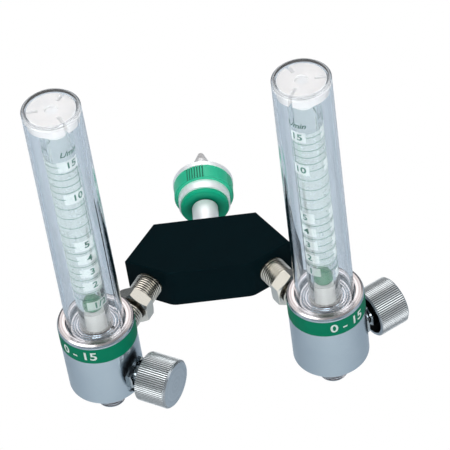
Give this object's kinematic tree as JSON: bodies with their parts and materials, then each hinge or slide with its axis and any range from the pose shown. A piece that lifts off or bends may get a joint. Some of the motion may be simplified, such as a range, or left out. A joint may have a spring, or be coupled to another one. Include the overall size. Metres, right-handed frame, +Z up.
{
  "type": "twin oxygen flowmeter",
  "caption": "Twin medical oxygen flowmeter: tube meters with floats, fluted knobs and threaded outlets on one manifold block with a wall inlet and hand nut.",
  "frame": {"origin": "centre of the wall inlet nose, on its axis, where the straight shank meets the cone", "axes": "+X to the right, +Y back towards the wall outlet along the inlet axis, +Z up along the meter tubes"},
  "size_m": [0.1721, 0.163, 0.2],
  "materials": {
    "anodised_black": "satin black anodised",
    "nickel": "nickel plated, turned",
    "chrome": "satin chrome plated",
    "knob_metal": "fluted, satin",
    "plain_brass": "turned",
    "steel": "black oxide",
    "sintered_bronze": "sintered",
    "green_plastic": "moulded",
    "green_label": "printed band",
    "green_ball": "polished",
    "clear_plastic": "clear moulded",
    "clear_tube": "clear with printed scale",
    "white_plastic": "moulded",
    "grey_plastic": "moulded",
    "seal_rubber": "matt"
  },
  "bodies": {
    "root": {"manifold_block": "anodised_black", "inlet_stem": "nickel", "left_block_adapter": "nickel", "left_inlet_nut": "nickel", "left_inlet_nipple": "nickel", "left_inlet_filter": "sintered_bronze", "left_inlet_seal": "seal_rubber", "left_meter_body": "chrome", "left_label_band": "green_label", "left_shroud": "clear_plastic", "left_shroud_gasket": "seal_rubber", "left_tube_seat": "grey_plastic", "left_flow_tube": "clear_tube", "left_tube_retainer": "white_plastic", "left_valve_bonnet": "chrome", "left_packing_nut": "chrome", "left_outlet": "chrome", "right_block_adapter": "nickel", "right_inlet_nut": "nickel", "right_inlet_nipple": "nickel", "right_inlet_filter": "sintered_bronze", "right_inlet_seal": "seal_rubber", "right_meter_body": "chrome", "right_label_band": "green_label", "right_shroud": "clear_plastic", "right_shroud_gasket": "seal_rubber", "right_tube_seat": "grey_plastic", "right_flow_tube": "clear_tube", "right_tube_retainer": "white_plastic", "right_valve_bonnet": "chrome", "right_packing_nut": "chrome", "right_outlet": "chrome"},
    "hand_nut_washer": {"thrust_washer": "white_plastic"},
    "hand_nut": {"hand_nut": "nickel", "hand_nut_cap": "green_plastic", "hand_nut_grip": "green_plastic"},
    "left_float": {"left_float_ball": "green_ball"},
    "left_stem_seal_ring": {"left_stem_seal": "seal_rubber"},
    "left_knob": {"left_flow_knob": "knob_metal", "left_valve_stem": "plain_brass", "left_knob_screw": "steel"},
    "right_float": {"right_float_ball": "green_ball"},
    "right_stem_seal_ring": {"right_stem_seal": "seal_rubber"},
    "right_knob": {"right_flow_knob": "knob_metal", "right_valve_stem": "plain_brass", "right_knob_screw": "steel"}
  },
  "joints": [
    {"name": "hand_nut_slide", "type": "slide", "parent": "root", "child": "hand_nut_washer", "axis": [0, 1, 0], "range_m": [0, 0.0029]},
    {"name": "hand_nut_turn", "type": "hinge", "parent": "hand_nut_washer", "child": "hand_nut", "pos_m": [0, 0, 0], "axis": [0, 1, 0], "continuous": true},
    {"name": "left_float_slide", "type": "slide", "parent": "root", "child": "left_float", "axis": [0, 0, 1], "range_m": [0, 0.108]},
    {"name": "left_valve_travel", "type": "slide", "parent": "root", "child": "left_stem_seal_ring", "axis": [0.866, -0.5, 0], "range_m": [0, 0.0012]},
    {"name": "left_valve_turn", "type": "hinge", "parent": "left_stem_seal_ring", "child": "left_knob", "pos_m": [-0.05625, -0.12101, -0.007], "axis": [0.866, -0.5, 0], "range_deg": [0, 540]},
    {"name": "right_float_slide", "type": "slide", "parent": "root", "child": "right_float", "axis": [0, 0, 1], "range_m": [0, 0.108]},
    {"name": "right_valve_travel", "type": "slide", "parent": "root", "child": "right_stem_seal_ring", "axis": [0.866, 0.5, 0], "range_m": [0, 0.0012]},
    {"name": "right_valve_turn", "type": "hinge", "parent": "right_stem_seal_ring", "child": "right_knob", "pos_m": [0.05625, -0.12101, -0.007], "axis": [0.866, 0.5, 0], "range_deg": [0, 540]}
  ],
  "couplings": [
    {"joint": "left_valve_travel", "follows": "left_valve_turn", "m_per_rad": 0.000127},
    {"joint": "right_valve_travel", "follows": "right_valve_turn", "m_per_rad": 0.000127}
  ]
}
